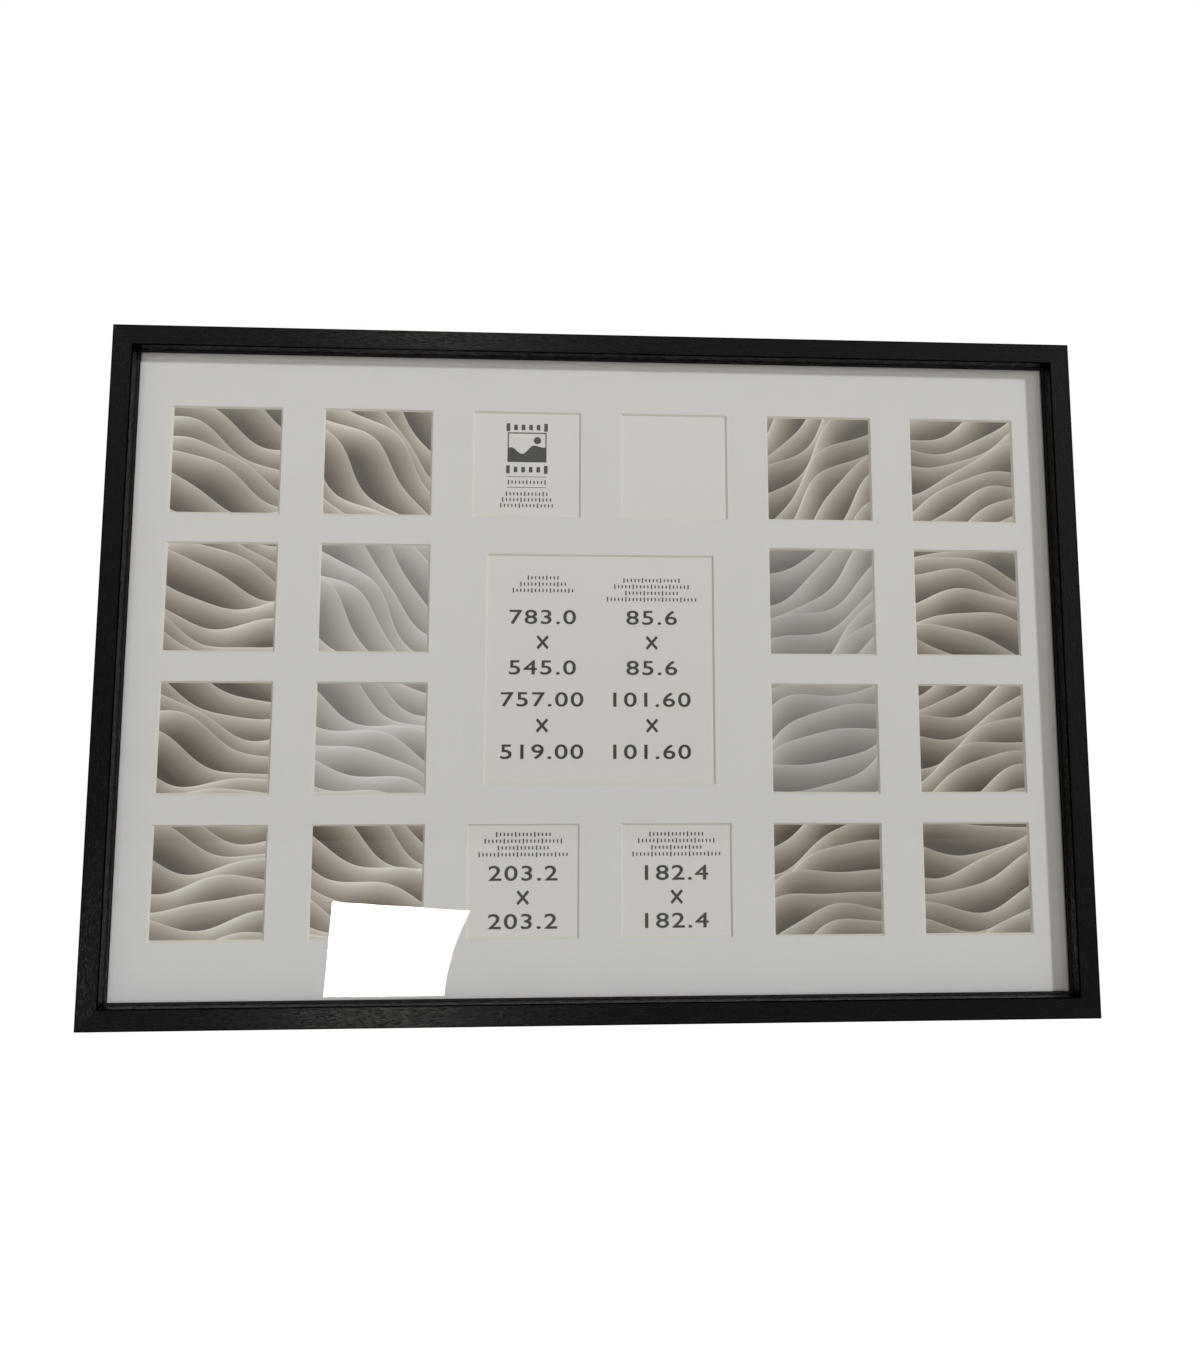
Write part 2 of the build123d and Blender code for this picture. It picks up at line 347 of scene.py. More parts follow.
def dune_tone(tree, along, height, draws):
    """How light the print is, from 0 to 1. The crests lie one below the other, and each dune covers what is
    below its crest: bright on the crest itself, pale under it and darker the further down it goes. The
    three draws of a window start its waves and set the tone above its first crest."""
    turn = 2 * math.pi
    first, second, third = draws
    start_long = number(tree, "MULTIPLY", first, turn)
    start_short = number(tree, "MULTIPLY", second, turn)
    sway_start = number(tree, "MULTIPLY", third, sway_draw)
    nudge_start = number(tree, "MULTIPLY", second, nudge_draw)
    tone = number(tree, "MULTIPLY", third, backdrop_share)
    for dune in range(dune_count):
        sway = number(tree, "SINE", number(tree, "ADD", sway_start, sway_step * dune))
        long_phase = number(tree, "MULTIPLY_ADD", sway, sway_turns * turn, start_long)
        long_phase = number(tree, "ADD", long_phase, long_drift * dune * turn)
        short_phase = number(tree, "ADD", start_short, short_drift * dune * turn)
        nudge = number(tree, "SINE", number(tree, "ADD", nudge_start, nudge_step * dune))
        base = number(tree, "MULTIPLY_ADD", nudge, nudge_rise, first_crest - crest_step * dune)
        rise, slope = crest_line(tree, along, base, long_phase, short_phase)
        steepness = number(tree, "SQRT", number(tree, "MULTIPLY_ADD", slope, slope, 1.0))
        below = number(tree, "DIVIDE", number(tree, "SUBTRACT", rise, height), steepness)
        covers = number(tree, "MULTIPLY", below, crest_sharpness, clamp=True)
        below = number(tree, "MAXIMUM", below, 0.0)
        fade = number(tree, "MULTIPLY_ADD", below, -fade_rate, crest_tone)
        fade = number(tree, "MAXIMUM", fade, deepest_tone)
        edge = number(tree, "EXPONENT", number(tree, "MULTIPLY", below, -edge_rate))
        lit_side = number(tree, "EXPONENT", number(tree, "MULTIPLY", below, -side_rate))
        lit_side = number(tree, "MULTIPLY", number(tree, "MULTIPLY", slope, side_light), lit_side)
        body = number(tree, "ADD", number(tree, "MULTIPLY_ADD", edge, edge_light, fade), lit_side)
        tone = number(tree, "MULTIPLY_ADD", number(tree, "SUBTRACT", body, tone), covers, tone)
    return tone


def dune_print(tree, place):
    """The folded dunes' colour at each place, and where they are printed. Each window has dunes of its own,
    which lean outwards. The inner columns' two middle windows are paler and softer."""
    apart = node(tree, "SeparateXYZ", {0: place}).outputs
    column, across = place_in_cell(tree, apart["X"], 0.0, column_pitch, column_count)
    row, up = place_in_cell(tree, apart["Z"], frame_middle, row_pitch, row_count)
    cell = node(tree, "CombineXYZ", {0: column, 1: row}).outputs[0]
    random_colour = node(tree, "TexWhiteNoise", {"Vector": cell}).outputs["Color"]
    draws = node(tree, "SeparateColor", {0: random_colour}).outputs

    off_middle = number(tree, "SUBTRACT", column, (column_count - 1) / 2)
    columns_away = number(tree, "ABSOLUTE", off_middle)
    rows_away = number(tree, "ABSOLUTE", number(tree, "SUBTRACT", row, (row_count - 1) / 2))
    side = number(tree, "SIGN", off_middle)
    printed = number(tree, "GREATER_THAN", columns_away, 1.0)
    inner = number(tree, "LESS_THAN", columns_away, 2.0)
    pale = number(tree, "MULTIPLY", inner, number(tree, "LESS_THAN", rows_away, 1.0))

    lean = number(tree, "MULTIPLY_ADD", inner, inner_lean - outer_lean, outer_lean)
    lean = number(tree, "MULTIPLY", lean, side)
    lean = number(tree, "MULTIPLY_ADD", number(tree, "SUBTRACT", draws[0], 0.5), lean_spread, lean)
    cosine, sine = number(tree, "COSINE", lean), number(tree, "SINE", lean)
    along = number(tree, "MULTIPLY_ADD", across, cosine, number(tree, "MULTIPLY", up, sine))
    drop = number(tree, "MULTIPLY", across, sine)
    height = number(tree, "SUBTRACT", number(tree, "MULTIPLY", up, cosine), drop)
    tone = dune_tone(tree, along, height, draws)

    contrast = number(tree, "MULTIPLY_ADD", pale, pale_contrast - strong_contrast, strong_contrast)
    left_shade, right_shade = side_shades
    level = number(tree, "MULTIPLY_ADD", pale, pale_lift, middle_tone - (left_shade + right_shade) / 2)
    level = number(tree, "MULTIPLY_ADD", side, (left_shade - right_shade) / 2, level)
    tone = number(tree, "MULTIPLY_ADD", number(tree, "SUBTRACT", tone, middle_tone), contrast, level)
    return mixed(tree, pale, toned(tree, tone, *brown_tones), toned(tree, tone, *grey_tones)), printed


insert, insert_tree, insert_shader, insert_place = finish("printed_paper", insert_roughness, gloss=0.0)
dune_colour, on_print = dune_print(insert_tree, insert_place)
insert_colour = mixed(insert_tree, on_print, printed_colour(*insert_paper), dune_colour)
plug(insert_tree, insert_shader.inputs["Base Color"], insert_colour)
clothe(insert, "photo_insert")

# The sizes are printed on the same sheet in dark taupe ink: plain numbers in millimetres, rows of ruler
# ticks over them, and a simple sign of hills under a sun.
ink_colour = (30, 22, 8)
ink_lighter = (36, 28, 14)
ink_roughness = 0.6
ink_mottle = 1500.0
ink_face = -0.0073
ink_height = 0.00003
digit_height = 0.0118
digit_widening = 1.38
digit_gap = 1.12
stroke_growth = 0.012
times_mark = "×"
times_size = (0.0100, 0.0116)
times_stroke = 0.17
small_tick = (0.0030, 0.0011, 0.0026)
tall_tick_step = 5
tall_tick_share = 1.45


def solid_mesh(name, corners, faces, material, smooth=False):
    """A piece with these corners and faces, in this material."""
    mesh = bpy.data.meshes.new(name)
    mesh.from_pydata(corners, [], faces)
    mesh.polygons.foreach_set("use_smooth", [smooth] * len(mesh.polygons))
    mesh.materials.append(material)
    piece = bpy.data.objects.new(name, mesh)
    bpy.context.scene.collection.objects.link(piece)
    return piece


def joined(parts):
    """The corners and faces of several (corners, faces) parts as one pair."""
    corners = np.concatenate([own_corners for own_corners, _ in parts])
    starts = np.cumsum([0] + [len(own_corners) for own_corners, _ in parts])
    faces = [
        (np.array(face) + start).tolist()
        for (_, own_faces), start in zip(parts, starts)
        for face in own_faces
    ]
    return corners, faces


def on_sheet(flat, x, z):
    """Lays flat points on the sheet's front: their x goes right, their y goes up, and their height
    comes forward from the paper."""
    return np.stack([x + flat[:, 0], ink_face - flat[:, 2], z + flat[:, 1]], axis=1)


def figures(words, x, z, height):
    """Raised ink in the shape of a number, centred on a place and scaled to a height. A bevel makes its
    strokes bolder: they are widest on the paper, by the growth, and narrower on top."""
    text = bpy.data.curves.new("figures", "FONT")
    text.body = words
    text.bevel_depth = stroke_growth
    text.bevel_resolution = 0
    text.space_character = digit_gap
    text.resolution_u = 5
    holder = bpy.data.objects.new("figures", text)
    bpy.context.scene.collection.objects.link(holder)
    bpy.context.view_layer.update()
    mesh = bpy.data.meshes.new_from_object(holder)
    flat = np.zeros(len(mesh.vertices) * 3)
    mesh.vertices.foreach_get("co", flat)
    flat = flat.reshape(-1, 3)
    faces = [list(face.vertices) for face in mesh.polygons]
    lowest, highest = flat.min(axis=0), flat.max(axis=0)
    scale = height / (highest - lowest)[1]
    flat[:, :2] = (flat[:, :2] - (lowest + highest)[:2] / 2) * [digit_widening * scale, scale]
    flat[:, 2] *= ink_height / stroke_growth
    bpy.data.objects.remove(holder)
    bpy.data.meshes.remove(mesh)
    return on_sheet(flat, x, z), faces


def slab(outline, x, z):
    """Raised ink with this outline, which runs round anticlockwise: the outline twice, one over the other,
    with a face on each and a wall between them."""
    count = len(outline)
    heights = np.repeat([-ink_height, ink_height], count)
    flat = np.column_stack([np.tile(outline, (2, 1)), heights])
    here = np.arange(count)
    next_one = (here + 1) % count
    wall = np.stack([here, next_one, next_one + count, here + count], axis=1)
    return on_sheet(flat, x, z), [here[::-1].tolist(), (here + count).tolist(), *wall.tolist()]


def rectangle(width, height):
    """The outline of a rectangle round its middle."""
    return np.array([[-1, -1], [1, -1], [1, 1], [-1, 1]]) * [width / 2, height / 2]


def tick_row(length, x, z, tick=small_tick):
    """A row of ruler ticks, each fifth one taller: upright bars at one pitch along the length."""
    pitch, width, height = tick
    count = int(length / pitch) + 1
    starts = (np.arange(count) - (count - 1) / 2) * pitch
    heights = np.where(np.arange(count) % tall_tick_step == 0, height * tall_tick_share, height)
    return [slab(rectangle(width, own_height), x + start, z) for start, own_height in zip(starts, heights)]


def times_sign(x, z):
    """A multiplication sign: the twelve corners of an upright cross, whose arms are as wide as the stroke's
    share of their length, turned by an eighth and stretched to the sign's width and height."""
    arm = np.array([[1, -times_stroke], [1, times_stroke], [times_stroke, times_stroke]])
    quarter_turn = np.array([[0, -1], [1, 0]])
    corners = np.concatenate([arm @ np.linalg.matrix_power(quarter_turn.T, turn) for turn in range(4)])
    eighth = np.array([[1, -1], [1, 1]]) / (1 + times_stroke)
    return slab(corners @ eighth.T * times_size / 2, x, z)


ink, ink_tree, ink_shader, ink_place = finish("taupe_ink", ink_roughness, gloss=0.0)
ink_share = speckle(ink_tree, ink_place, ink_mottle)
plug(ink_tree, ink_shader.inputs["Base Color"], toned(ink_tree, ink_share, ink_colour, ink_lighter))

centre_left, centre_right = -0.0467, 0.0417
lower_left, lower_right = -column_pitch / 2, column_pitch / 2
outer_row = (row_count - 1) / 2 * row_pitch
lower_middle = frame_middle - outer_row
number_rows = (0.0415, 0.0210, 0.0007, -0.0249, -0.0457, -0.0665)
lower_rows = (0.0059, -0.0128, -0.0310)
label_columns = (
    (centre_left, frame_middle, number_rows, ("783.0", times_mark, "545.0", "757.00", times_mark, "519.00")),
    (centre_right, frame_middle, number_rows, ("85.6", times_mark, "85.6", "101.60", times_mark, "101.60")),
    (lower_left, lower_middle, lower_rows, ("203.2", times_mark, "203.2")),
    (lower_right, lower_middle, lower_rows, ("182.4", times_mark, "182.4")),
)
numbers = [
    times_sign(x, middle + up) if words == times_mark else figures(words, x, middle + up, digit_height)
    for x, middle, rows, texts in label_columns
    for up, words in zip(rows, texts)
]
printed_numbers = solid_mesh("printed_numbers", *joined(numbers), ink)

tick_rows = (
    (0.026, centre_left, frame_middle + 0.0735), (0.037, centre_left, frame_middle + 0.0683),
    (0.048, centre_left, frame_middle + 0.0631),
    (0.045, centre_right, frame_middle + 0.0720), (0.062, centre_right, frame_middle + 0.0668),
    (0.042, centre_right, frame_middle + 0.0616), (0.074, centre_right, frame_middle + 0.0564),
)
lower_tick_rows = ((0.044, 0.0359), (0.060, 0.0307), (0.040, 0.0255), (0.070, 0.0203))
ticks = [tick for length, x, z in tick_rows for tick in tick_row(length, x, z)]
for x in (lower_left, lower_right):
    for length, up in lower_tick_rows:
        ticks += tick_row(length, x, lower_middle + up)
printed_ticks = solid_mesh("printed_ruler_ticks", *joined(ticks), ink)

sign_x, sign_z = lower_left, frame_middle + outer_row
sign_width, sign_height = 0.0320, 0.0250
sign_up = 0.0147
border = 0.0010
fine_line = 0.0005
fine_line_rows = (-0.0101, -0.0190)
bold_tick = (0.0062, 0.0030, 0.0046)
sign_tick_rows = (
    (0.032, 0.0315, bold_tick), (0.032, -0.0040, bold_tick), (0.032, -0.0146, small_tick),
    (0.036, -0.0244, small_tick), (0.041, -0.0293, small_tick), (0.043, -0.0341, small_tick),
)
hill_base, hill_rise, peak_rise = -0.02, 0.17, 0.05
hill_rate, hill_start, slope_rate, peak_rate = 5.2, 0.6, 3.0, 13.0
sun_radius = 0.0030
sun_right, sun_up = 0.0085, 0.0205

along_hill = np.linspace(-0.5, 0.5, 41)
ridge = hill_rise * np.sin(hill_rate * along_hill - hill_start) * np.cos(slope_rate * along_hill)
ridge += hill_base + peak_rise * np.sin(peak_rate * along_hill)
foot = [[-0.5, -0.5], [0.5, -0.5]]
hills = np.concatenate([foot, np.column_stack([along_hill, ridge])[::-1]]) * [sign_width, sign_height]
around_sun = np.linspace(0, 2 * math.pi, 33)[:-1]
sun = np.column_stack([np.cos(around_sun), np.sin(around_sun)]) * sun_radius
side_bar = rectangle(border, sign_height)
cross_bar = rectangle(sign_width, border)
sign_parts = [slab(hills, sign_x, sign_z + sign_up), slab(sun, sign_x + sun_right, sign_z + sun_up)]
for side in (-1, 1):
    sign_parts.append(slab(side_bar, sign_x + side * (sign_width - border) / 2, sign_z + sign_up))
    sign_parts.append(slab(cross_bar, sign_x, sign_z + sign_up + side * (sign_height - border) / 2))
for up in fine_line_rows:
    sign_parts.append(slab(rectangle(sign_width, fine_line), sign_x, sign_z + up))
for length, up, tick in sign_tick_rows:
    sign_parts += tick_row(length, sign_x, sign_z + up, tick)
printed_sign = solid_mesh("printed_hills_sign", *joined(sign_parts), ink)

for piece in (printed_numbers, printed_ticks, printed_sign):
    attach(piece, "root")


# BACKING BOARD
# A sheet of brown hardboard that closes the frame's back, sawn with its four corners cut off. It lies in
# the rebate and lifts out once the turn buttons are turned aside.
board_tones = ((104, 78, 54), (128, 98, 70), (147, 116, 86))
board_gloss = 0.35
board_roughness = 0.48
board_roughening = 0.25
fibre_scales = (900.0, 900.0, 420.0)
fibre_share = 0.75
fibre_depth = 0.00012
fibre_strength = 0.4
board_cloud_scale = 30.0
board_cloud_share = 0.35

board, board_tree, board_shader, board_place = finish("hardboard", board_roughness, gloss=board_gloss)
fibre_place = stretched(board_tree, board_place, fibre_scales)
fibres = speckle(board_tree, fibre_place, 1.0, detail=5.0, roughness=0.65)
clouds = speckle(board_tree, board_place, board_cloud_scale)
clouds = number(board_tree, "MULTIPLY", clouds, board_cloud_share)
board_share = number(board_tree, "MULTIPLY_ADD", fibres, fibre_share, clouds)
plug(board_tree, board_shader.inputs["Base Color"], toned(board_tree, board_share, *board_tones))
fibre_roughness = number(board_tree, "MULTIPLY_ADD", fibres, board_roughening, board_roughness)
plug(board_tree, board_shader.inputs["Roughness"], fibre_roughness)
raised(board_tree, board_shader, fibres, fibre_depth, fibre_strength)
clothe(board, "backing_board")


# TURN BUTTONS
# Ten tongues of zinc-plated steel that turn on a screw in the moulding's back and hold the board in. The
# screws are pan-headed with a cross recess.
zinc = (176, 177, 180)
screw_zinc = (188, 186, 178)
head_radius = 0.0029
head_height = 0.0019
head_foot_share = 0.96
rim_width_share = 0.06
rim_foot_share = 0.12
rim_top_share = 0.5
crown_radius = 0.00003
shank_radius = 0.0015
point_length = 0.0025
point_radius = 0.0002
slot_half_width, slot_wall = 0.00042, 0.00016
slot_reach, slot_end = 0.0017, 0.0004
slot_depth = 0.0011
button_top = -0.0030
button_screw_tip = -0.0140

button_metal = rolled_metal("button_zinc", zinc, scratches=1900.0, smoothest=0.26)
turning = [joint for joint in frame["joints"] if joint.get("continuous")]
clothe(button_metal, *(joint["child"] for joint in turning))


def capped_rings(grid):
    """The corners and faces of a shape given as rings of corners, one beyond the other: four-sided faces
    between neighbouring rings, and one face over each end ring."""
    count, around = grid.shape[:2]
    here = np.arange(around)
    next_one = (here + 1) % around
    near = np.arange(count - 1)[:, None] * around
    far = near + around
    faces = np.stack([near + here, far + here, far + next_one, near + next_one], axis=2)
    last_ring = (count - 1) * around + here
    return grid.reshape(-1, 3), [*faces.reshape(-1, 4).tolist(), here.tolist(), last_ring[::-1].tolist()]


def wood_screw(x, z, seat, tip, around=72):
    """A pan-headed screw that points into the frame: a profile turned round its axis, from the tip up the
    shank, out under the head, over its rim and across the dome, which dips where two crossed slots meet."""
    rim = np.linspace(0, math.pi / 2, 5)
    dome = np.linspace(1, 0, 22)[1:-1]
    dome_radius = head_radius * (1 - rim_width_share)
    rim_climb = (rim_top_share - rim_foot_share) * (1 - np.cos(rim))
    radius = np.concatenate([
        [point_radius, shank_radius, shank_radius, head_radius * head_foot_share],
        dome_radius + head_radius * rim_width_share * np.sin(rim),
        dome_radius * dome,
        [crown_radius],
    ])
    height = np.concatenate([
        [tip, tip + point_length, seat, seat],
        seat + head_height * (rim_foot_share + rim_climb),
        seat + head_height * (1 - (1 - rim_top_share) * dome ** 2),
        [seat + head_height],
    ])
    angle = np.arange(around) / around * 2 * math.pi
    across = radius[:, None] * np.cos(angle)
    up = radius[:, None] * np.sin(angle)
    narrow = np.minimum(abs(across), abs(up))
    reach = np.maximum(abs(across), abs(up))
    in_slot = np.clip((slot_half_width - narrow) / slot_wall, 0, 1)
    in_slot = in_slot * np.clip((slot_reach - reach) / slot_end, 0, 1)
    on_dome = np.arange(len(radius))[:, None] >= len(radius) - len(dome) - 1
    level = height[:, None] - slot_depth * in_slot * on_dome
    return capped_rings(np.stack([x + across, level, z + up], axis=2))


screw_metal = rolled_metal("screw_zinc", screw_zinc, scratches=2600.0, smoothest=0.22)
screws = [wood_screw(joint["pos_m"][0], joint["pos_m"][2], button_top, button_screw_tip) for joint in turning]
button_screws = solid_mesh("turn_button_screw_set", *joined(screws), screw_metal, smooth=True)
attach(button_screws, "root")
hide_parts("turn_button_screws")


# RING HANGERS
# Near the top of each upright rail a strap of plated steel is folded round the bar of a D ring and
# screwed down through both layers. The ring hangs on the strap and turns up to take a wall hook.
strap_top = -0.0024
strap_screw_tip = -0.0149
strap_screw_drop = 0.0165
wire_radius = 0.001
ring_bar = 0.0086
ring_side = 0.0032
ring_corner = 0.0016
ring_half_width = 0.0059
ring_tip_lift = 0.00102
ring_tilt = math.asin(ring_tip_lift / (ring_corner + ring_side + ring_half_width))

hanger_metal = rolled_metal("hanger_zinc", zinc, scratches=2100.0, smoothest=0.24)
clothe(hanger_metal, "hanger_strap_left", "hanger_strap_right")
swinging = [joint for joint in frame["joints"] if not joint.get("continuous")]


def bent_wire(place, around=20):
    """A D ring: a circle carried along a closed line of a bar, two corner arcs, two flanks and a round bow,
    in a plane that hangs from the bar and leans back on to the strap."""
    quarter = np.linspace(0, math.pi / 2, 9)
    half_turn = np.linspace(0, math.pi, 37)
    half_bar = ring_bar / 2
    corner = np.column_stack([half_bar + ring_corner * np.sin(quarter), ring_corner * (1 - np.cos(quarter))])
    flank = np.concatenate([corner, [[ring_half_width, ring_corner + ring_side / 2]]])
    bow = np.column_stack([np.cos(half_turn), np.sin(half_turn)]) * ring_half_width
    bow += [0.0, ring_corner + ring_side]
    other_flank = flank[::-1] * [-1, 1]
    bar, bar_end = [[0.0, 0.0], [half_bar / 2, 0.0]], [[-half_bar / 2, 0.0]]
    line = np.concatenate([bar, flank, bow, other_flank, bar_end])
    ahead = np.roll(line, -1, axis=0) - np.roll(line, 1, axis=0)
    ahead /= np.linalg.norm(ahead, axis=1)[:, None]
    outward = np.column_stack([ahead[:, 1], -ahead[:, 0]])
    angle = np.arange(around) / around * 2 * math.pi
    flat = line[:, None, :] + wire_radius * np.cos(angle)[None, :, None] * outward[:, None, :]
    lift = np.broadcast_to(wire_radius * np.sin(angle), flat.shape[:2])
    lean, stand = math.sin(ring_tilt), math.cos(ring_tilt)
    corners = np.stack([
        place[0] + flat[..., 0],
        place[1] + flat[..., 1] * lean + lift * stand,
        place[2] - flat[..., 1] * stand + lift * lean,
    ], axis=2).reshape(-1, 3)
    here = np.arange(around)
    next_one = (here + 1) % around
    rings = np.arange(len(line))[:, None] * around
    next_ring = np.roll(rings, -1, axis=0)
    faces = np.stack([rings + here, next_ring + here, next_ring + next_one, rings + next_one], axis=2)
    return corners, faces.reshape(-1, 4).tolist()


for joint in swinging:
    ring = solid_mesh(joint["child"] + "_wire", *bent_wire(joint["pos_m"]), hanger_metal, smooth=True)
    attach(ring, joint["child"])
    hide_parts(joint["child"])

screws = [
    wood_screw(joint["pos_m"][0], joint["pos_m"][2] - strap_screw_drop, strap_top, strap_screw_tip)
    for joint in swinging
]
hanger_screws = solid_mesh("hanger_screw_pair", *joined(screws), screw_metal, smooth=True)
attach(hanger_screws, "root")
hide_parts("hanger_screws")


# WALL BUMPERS
# Two discs of grey felt, stuck to the lower corners of the back. They stand the frame off the wall by as
# much as the hangers do.
felt_tones = ((52, 53, 55), (84, 85, 88))
felt_roughness = 0.95
felt_gloss = 0.1
felt_sheen = 0.25
felt_fibre_scale = 2600.0
felt_depth = 0.0003
felt_strength = 0.8
felt_radius = 0.0046
felt_thickness = 0.0040
felt_rim = 0.0008
felt_centre = 0.0001
bulge_counts = (7, 3)
bulge_start = 900.0
bulge_share = 0.012
felt_places = ((-0.3675, -0.3862), (0.3675, -0.3862))


def felt_disc(x, z, around=56):
    """A disc with a soft rim: a profile turned round its axis, flat on both faces and rounded between, whose
    edge wavers a little with the angle, as the product of a sine and a cosine."""
    edge = np.linspace(-math.pi / 2, math.pi / 2, 13)
    flat = [felt_centre, felt_radius / 2]
    radius = np.concatenate([flat, felt_radius - felt_rim * (1 - np.cos(edge)), flat[::-1]])[:, None]
    height = np.concatenate([[0.0, 0.0], felt_thickness * (1 + np.sin(edge)) / 2, [felt_thickness] * 2])
    angle = np.arange(around) / around * 2 * math.pi
    many, few = bulge_counts
    bulge = np.sin(many * angle + bulge_start * x) * np.cos(few * angle)
    wavering = radius * (1 - bulge_share * (1 + bulge) * (radius > felt_radius / 2))
    level = np.broadcast_to(height[:, None] - felt_thickness, wavering.shape)
    return capped_rings(np.stack([x + wavering * np.cos(angle), level, z + wavering * np.sin(angle)], axis=2))


felt, felt_tree, felt_shader, felt_place = finish("grey_felt", felt_roughness, gloss=felt_gloss)
felt_fibres = speckle(felt_tree, felt_place, felt_fibre_scale, detail=5.0, roughness=0.7)
plug(felt_tree, felt_shader.inputs["Base Color"], toned(felt_tree, felt_fibres, *felt_tones))
plug(felt_tree, felt_shader.inputs["Sheen Weight"], felt_sheen)
raised(felt_tree, felt_shader, felt_fibres, felt_depth, felt_strength)
bumpers = solid_mesh("felt_bumpers", *joined([felt_disc(x, z) for x, z in felt_places]), felt, smooth=True)
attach(bumpers, "root")
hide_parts("wall_bumpers")


# ROOM
# A pale floor well below the hanging frame, and white all round. Far soft lamps light the frame from the
# upper right, the front and the back, and two bright windows behind the camera show in reflections alone.
floor_level = -0.86
floor_reach = 6.0
floor_points = 9
floor_pale = (238, 238, 236)
floor_roughness = 0.9
floor_gloss = 0.1
floor_whiteness = 0.9
floor_glow = 1.09
pure_white = (1.0, 1.0, 1.0, 1.0)
room_colour = (1.03, 1.0, 0.93, 1.0)
room_sides = 0.17
room_square = 0.25
room_power = 4.0
mirrored_level = 0.85
mirrored_rise = 2.0
mirrored_limits = (0.3, 1.6)
mirrored_right = (0.38, 0.56)
right_gain = 1.4


def seen_white(tree, lit, white):
    """Mixes a lit shader with a white one that only the camera, mirrors and glass see."""
    path = node(tree, "LightPath").outputs
    seen = number(tree, "MAXIMUM", path["Is Camera Ray"], path["Is Glossy Ray"])
    seen = number(tree, "MAXIMUM", seen, path["Is Transmission Ray"])
    return node(tree, "MixShader", {0: seen, 1: lit.outputs[0], 2: white.outputs[0]}).outputs[0]


world = bpy.data.worlds.new("white_room")
world.use_nodes = True
bpy.context.scene.world = world
sky_tree = world.node_tree
way = node(sky_tree, "SeparateXYZ", {0: node(sky_tree, "TexCoord").outputs["Generated"]}).outputs
square_on = number(sky_tree, "POWER", number(sky_tree, "ABSOLUTE", way["Y"]), room_power)
lit_sky = sky_tree.nodes["Background"]
plug(sky_tree, lit_sky.inputs["Color"], room_colour)
lit_strength = number(sky_tree, "MULTIPLY_ADD", square_on, room_square, room_sides)
plug(sky_tree, lit_sky.inputs["Strength"], lit_strength)
mirrored_sky = number(sky_tree, "MULTIPLY_ADD", way["Z"], mirrored_rise, mirrored_level)
mirrored_sky = number(sky_tree, "MAXIMUM", mirrored_sky, mirrored_limits[0])
mirrored_sky = number(sky_tree, "MINIMUM", mirrored_sky, mirrored_limits[1])
rightward = rising(sky_tree, way["X"], *mirrored_right)
mirrored_sky = number(sky_tree, "MULTIPLY_ADD", rightward, right_gain, mirrored_sky)
glossy = node(sky_tree, "LightPath").outputs["Is Glossy Ray"]
sky_strength = number(sky_tree, "MULTIPLY_ADD", glossy, number(sky_tree, "SUBTRACT", mirrored_sky, 1.0), 1.0)
white_sky = node(sky_tree, "Background", {"Color": pure_white, "Strength": sky_strength})
sky_output = sky_tree.nodes["World Output"].inputs["Surface"]
sky_tree.links.new(seen_white(sky_tree, lit_sky, white_sky), sky_output)

floor_finish, floor_tree, floor_shader, _ = finish("pale_floor", floor_roughness, gloss=floor_gloss)
plug(floor_tree, floor_shader.inputs["Base Color"], printed_colour(*floor_pale))
lit_floor = floor_shader.outputs[0]
glow = node(floor_tree, "Emission", {"Color": pure_white, "Strength": floor_glow}).outputs[0]
white_floor = node(floor_tree, "MixShader", {0: floor_whiteness, 1: lit_floor, 2: glow})
floor_output = floor_tree.nodes["Material Output"].inputs["Surface"]
floor_tree.links.new(seen_white(floor_tree, floor_shader, white_floor), floor_output)
floor_steps = np.linspace(-floor_reach, floor_reach, floor_points)
floor_x, floor_y = np.meshgrid(floor_steps, floor_steps, indexing="xy")
floor_corners = np.stack([floor_x, floor_y, np.full_like(floor_x, floor_level)], axis=2).reshape(-1, 3)
squares = np.arange(floor_points - 1)
first = (squares[:, None] * floor_points + squares).reshape(-1)
floor_faces = np.stack([first, first + 1, first + floor_points + 1, first + floor_points], axis=1).tolist()
floor = solid_mesh("floor", floor_corners, floor_faces, floor_finish)


def soft_lamp(name, towards, spread, level, colour):
    """A far lamp in this direction, as wide as the spread in degrees. A sheet that faces the frame's front or
    back gets the level from it, where 1 shows a colour as it is written. Mirrors don't show the lamp."""
    light = bpy.data.lights.new(name, "SUN")
    light.angle = math.radians(spread)
    light.color = colour
    holder = bpy.data.objects.new(name, light)
    bpy.context.scene.collection.objects.link(holder)
    holder.location = towards
    shining = -holder.location.normalized()
    light.energy = level * math.pi / abs(shining[1])
    holder.rotation_mode = "QUATERNION"
    holder.rotation_quaternion = shining.to_track_quat("-Z", "Y")
    holder.visible_glossy = False


soft_lamp("key_lamp", towards=(0.845, -1.0, 0.527), spread=5.0, level=0.44, colour=(0.95, 1.0, 1.07))
soft_lamp("front_lamp", towards=(0.0, -1.0, 0.0), spread=26.0, level=0.27, colour=room_colour[:3])
soft_lamp("back_lamp", towards=(0.0, 1.0, 0.0), spread=26.0, level=0.55, colour=room_colour[:3])

window_left_foot = (-0.3830, -0.6024)
window_left_head = (-0.3724, -0.4388)
window_right_foot = (-0.1954, -0.6051)
window_right_sweep = (0.0390, 0.1508)
upper_window = ((-0.3309, 0.4755), (-0.0976, 0.4755), (-0.0976, 0.6676), (-0.3309, 0.6676))
near_place = -0.9
far_place = -1.85
mirrored_eye = (-0.0486, 0.849, -0.1683)
window_colour = (0.97, 1.0, 0.84, 1.0)
window_brightness = 34.0
upper_brightness = 19.0


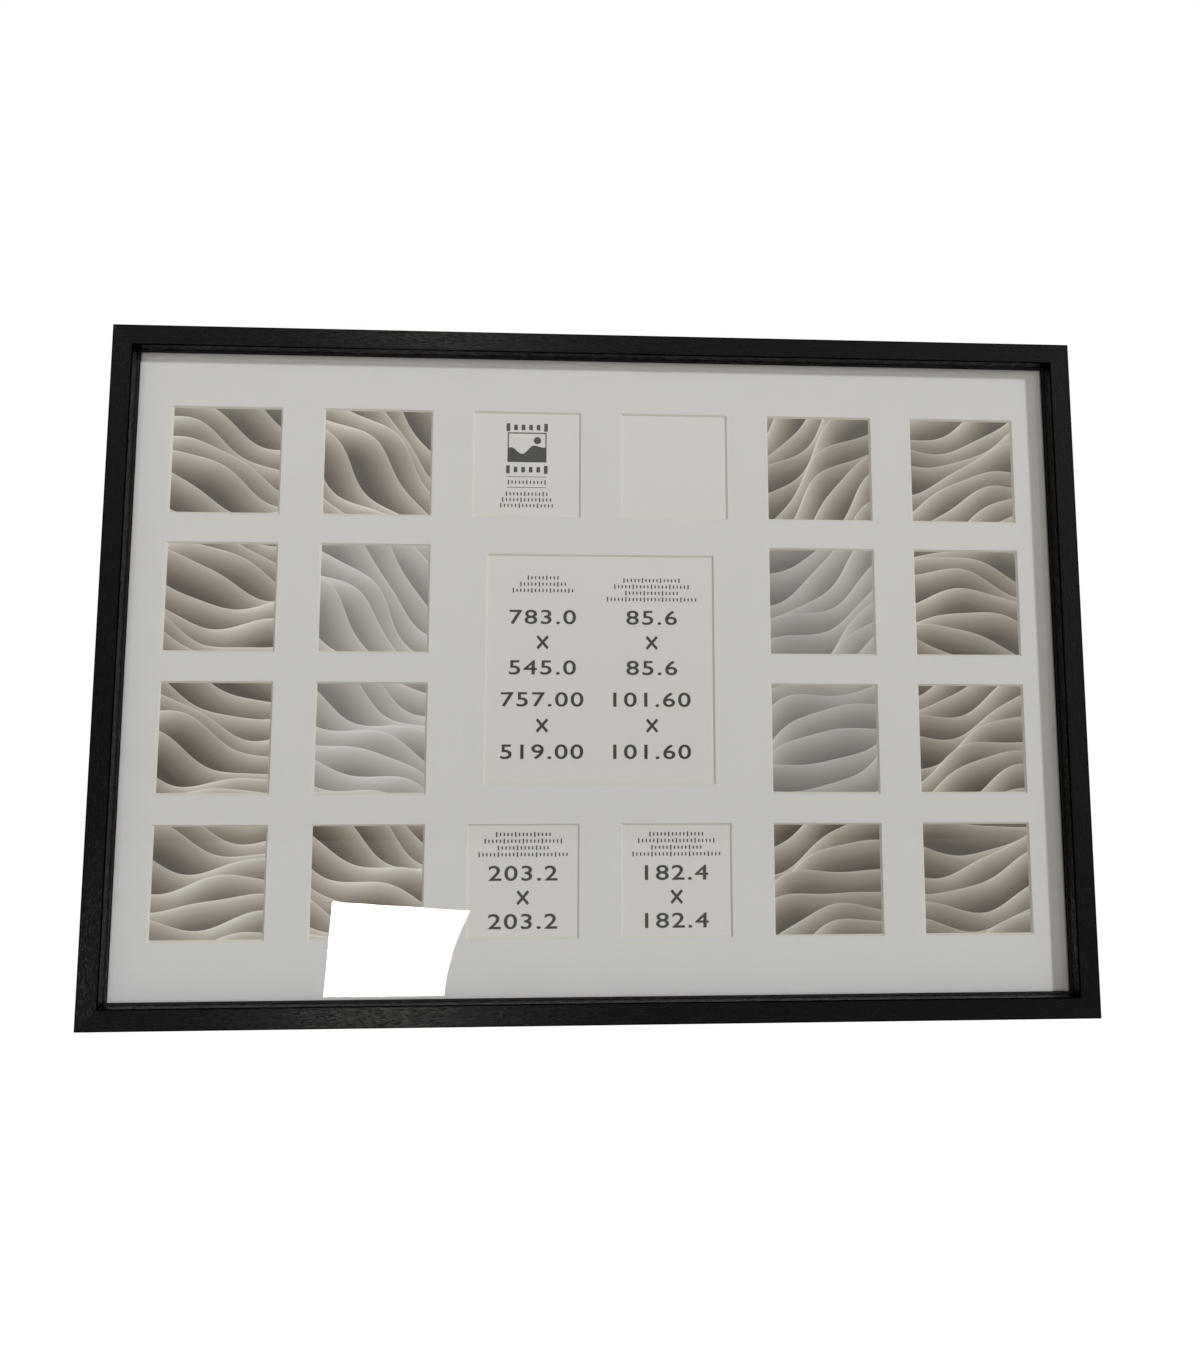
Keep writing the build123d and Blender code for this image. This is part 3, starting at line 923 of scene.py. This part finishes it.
def glare(name, brightness, sharp):
    """A light that only one kind of mirror sees: clear glass if it is sharp, and otherwise the foil and the
    metal. The rest of the room looks through it."""
    made = bpy.data.materials.new(name)
    made.use_nodes = True
    made.cycles.emission_sampling = "NONE"
    tree = made.node_tree
    tree.nodes.remove(tree.nodes["Principled BSDF"])
    shine = node(tree, "Emission", {"Color": window_colour, "Strength": brightness}).outputs[0]
    gone = node(tree, "BsdfTransparent").outputs[0]
    path = node(tree, "LightPath").outputs
    singular = path["Is Singular Ray"]
    fitting = singular if sharp else number(tree, "SUBTRACT", 1.0, singular)
    seen = number(tree, "MULTIPLY", path["Is Glossy Ray"], fitting)
    mix = node(tree, "MixShader", {0: seen, 1: gone, 2: shine})
    tree.links.new(mix.outputs[0], tree.nodes["Material Output"].inputs["Surface"])
    return made


# The lower window's right edge leans out with the square of the height above its foot. Each outline is
# drawn at the near place, and carried out along its lines of sight from the camera's mirror image.
share_up = np.linspace(0, 1, 13)
right_edge = window_right_foot + np.column_stack([share_up ** 2, share_up]) * window_right_sweep
lower_window = np.concatenate([[window_left_foot], right_edge, [window_left_head]])
eye_x, eye_y, eye_z = mirrored_eye
for name, outline, place, brightness, sharp in (
    ("bright_window", lower_window, far_place, window_brightness, True),
    ("bright_window_glow", lower_window, near_place, window_brightness, False),
    ("bright_window_above", upper_window, near_place, upper_brightness, False),
):
    reach = (place - eye_y) / (near_place - eye_y)
    carried = (np.array(outline) - [eye_x, eye_z]) * reach + [eye_x, eye_z]
    card_corners = np.insert(carried, 1, place, axis=1)
    card_face = [list(range(len(card_corners)))]
    solid_mesh(name, card_corners, card_face, glare(name, brightness, sharp))


# CAMERA
# The camera stands in front of the frame, a little left of and below its middle, and looks slightly up.
camera_place = (-0.04858, -0.87060, -0.16827)
camera_turns = (96.6326, -0.0852, -3.2047)
focal_pixels = 1071.57
picture_centre = (600.0, 604.6)
picture_size = (1200, 1360)

eye = bpy.data.cameras.new("camera")
eye.sensor_width = 36.0
eye.lens = focal_pixels / max(picture_size) * eye.sensor_width
eye.shift_x = (picture_size[0] / 2 - picture_centre[0]) / max(picture_size)
eye.shift_y = (picture_centre[1] - picture_size[1] / 2) / max(picture_size)
camera = bpy.data.objects.new("camera", eye)
bpy.context.scene.collection.objects.link(camera)
camera.location = camera_place
camera.rotation_euler = [math.radians(turn) for turn in camera_turns]
bpy.context.scene.camera = camera
bpy.context.scene.view_settings.view_transform = "Standard"
